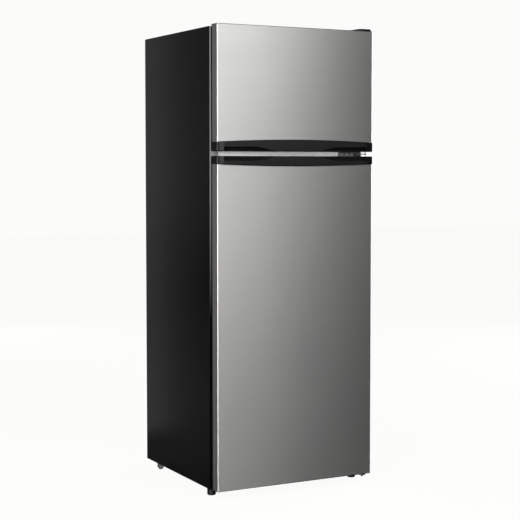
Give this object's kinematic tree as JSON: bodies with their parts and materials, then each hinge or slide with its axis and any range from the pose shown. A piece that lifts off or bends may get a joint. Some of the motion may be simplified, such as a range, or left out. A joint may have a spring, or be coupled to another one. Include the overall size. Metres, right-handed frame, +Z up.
{
  "type": "top freezer refrigerator",
  "caption": "Apartment-size top freezer refrigerator with stainless doors, black arched pocket handles, near-black cabinet, shelves, crisper drawer and rear condenser.",
  "frame": {"origin": "on the floor, under the middle of the bounding box", "axes": "+Z up, fronts of the doors face -Y, +X to the right of a person who faces the doors"},
  "size_m": [0.545, 0.566, 1.435],
  "materials": {
    "cabinet_paint": "satin",
    "back_paint": "satin",
    "galvanised": "satin",
    "rail_steel": "satin",
    "stainless": "satin",
    "handle_black": "satin",
    "cap_black": "matte",
    "liner_white": "satin",
    "seal": "matte",
    "foam": "matte",
    "hinge_steel": "satin",
    "screw_steel": "satin",
    "compressor_black": "gloss",
    "copper": "satin",
    "condenser_black": "satin",
    "aluminium_plate": "satin",
    "bin_plastic": "satin",
    "clear_plastic": "gloss",
    "lens": "satin",
    "glass": "polished",
    "wire": "satin",
    "roller": "satin"
  },
  "bodies": {
    "cabinet": {"back_panel": "back_paint", "bottom_hinge": "hinge_steel", "bottom_panel": "galvanised", "bottom_rail": "cabinet_paint", "cabinet_foam": "foam", "cabinet_shell": "cabinet_paint", "center_hinge": "hinge_steel", "center_rail": "rail_steel", "compressor": "compressor_black", "compressor_base": "galvanised", "compressor_grommets": "seal", "condenser": "condenser_black", "condenser_brackets": "cap_black", "control_box": "bin_plastic", "cord_gland": "seal", "crisper_cover": "glass", "drain_tube": "cap_black", "drip_tray": "cap_black", "filter_drier": "copper", "freezer_evaporator": "aluminium_plate", "freezer_liner": "liner_white", "freezer_shelf": "wire", "fridge_evaporator": "aluminium_plate", "fridge_liner": "liner_white", "hinge_screws": "screw_steel", "lamp_bulb": "lens", "lamp_lens": "lens", "lower_shelf": "glass", "refrigerant_pipes": "copper", "relay_cover": "cap_black", "roller_axles": "screw_steel", "shelf_trims": "bin_plastic", "top_hinge": "hinge_steel", "top_hinge_cover": "handle_black", "upper_shelf": "glass"},
    "freezer_door": {"freezer_bins": "clear_plastic", "freezer_bushes": "bin_plastic", "freezer_door_foam": "foam", "freezer_door_liner": "liner_white", "freezer_door_skin": "stainless", "freezer_gasket": "seal", "freezer_handle": "handle_black", "freezer_top_cap": "cap_black"},
    "fridge_door": {"bottle_bin": "clear_plastic", "fridge_bins": "clear_plastic", "fridge_bottom_cap": "cap_black", "fridge_bushes": "bin_plastic", "fridge_door_foam": "foam", "fridge_door_liner": "liner_white", "fridge_door_skin": "stainless", "fridge_gasket": "seal", "fridge_handle": "handle_black"},
    "thermostat_knob": {"thermostat_knob": "bin_plastic"},
    "light_switch": {"light_switch_plunger": "bin_plastic"},
    "crisper_drawer": {"crisper_drawer": "clear_plastic"},
    "left_foot": {"left_foot": "cap_black"},
    "right_foot": {"right_foot": "cap_black"},
    "left_roller": {"left_roller": "roller"},
    "right_roller": {"right_roller": "roller"}
  },
  "joints": [
    {"name": "freezer_door_hinge", "type": "hinge", "parent": "cabinet", "child": "freezer_door", "pos_m": [0.254, -0.2535, 1.239], "axis": [0, 0, 1], "range_deg": [0, 110]},
    {"name": "fridge_door_hinge", "type": "hinge", "parent": "cabinet", "child": "fridge_door", "pos_m": [0.254, -0.2535, 0.532], "axis": [0, 0, 1], "range_deg": [0, 110]},
    {"name": "thermostat_turn", "type": "hinge", "parent": "cabinet", "child": "thermostat_knob", "pos_m": [0.055, -0.15, 0.966], "axis": [0, 0, -1], "range_deg": [0, 270]},
    {"name": "light_switch_travel", "type": "slide", "parent": "cabinet", "child": "light_switch", "axis": [0, -1, 0], "range_m": [0, 0.005]},
    {"name": "crisper_slide", "type": "slide", "parent": "cabinet", "child": "crisper_drawer", "axis": [0, -1, 0], "range_m": [0, 0.173]},
    {"name": "left_foot_turn", "type": "hinge", "parent": "cabinet", "child": "left_foot", "pos_m": [-0.251, -0.193, 0.01], "axis": [0, 0, 1], "range_deg": [-180, 180]},
    {"name": "right_foot_turn", "type": "hinge", "parent": "cabinet", "child": "right_foot", "pos_m": [0.251, -0.193, 0.01], "axis": [0, 0, 1], "range_deg": [-180, 180]},
    {"name": "left_roller_spin", "type": "hinge", "parent": "cabinet", "child": "left_roller", "pos_m": [-0.2545, 0.1915, 0.012], "axis": [1, 0, 0], "continuous": true},
    {"name": "right_roller_spin", "type": "hinge", "parent": "cabinet", "child": "right_roller", "pos_m": [0.2545, 0.1915, 0.012], "axis": [1, 0, 0], "continuous": true}
  ],
  "couplings": [
    {"joint": "light_switch_travel", "follows": "fridge_door_hinge", "m_per_rad": 0.0026},
    {"joint": "crisper_slide", "follows": "fridge_door_hinge", "m_per_rad": 0.09}
  ]
}
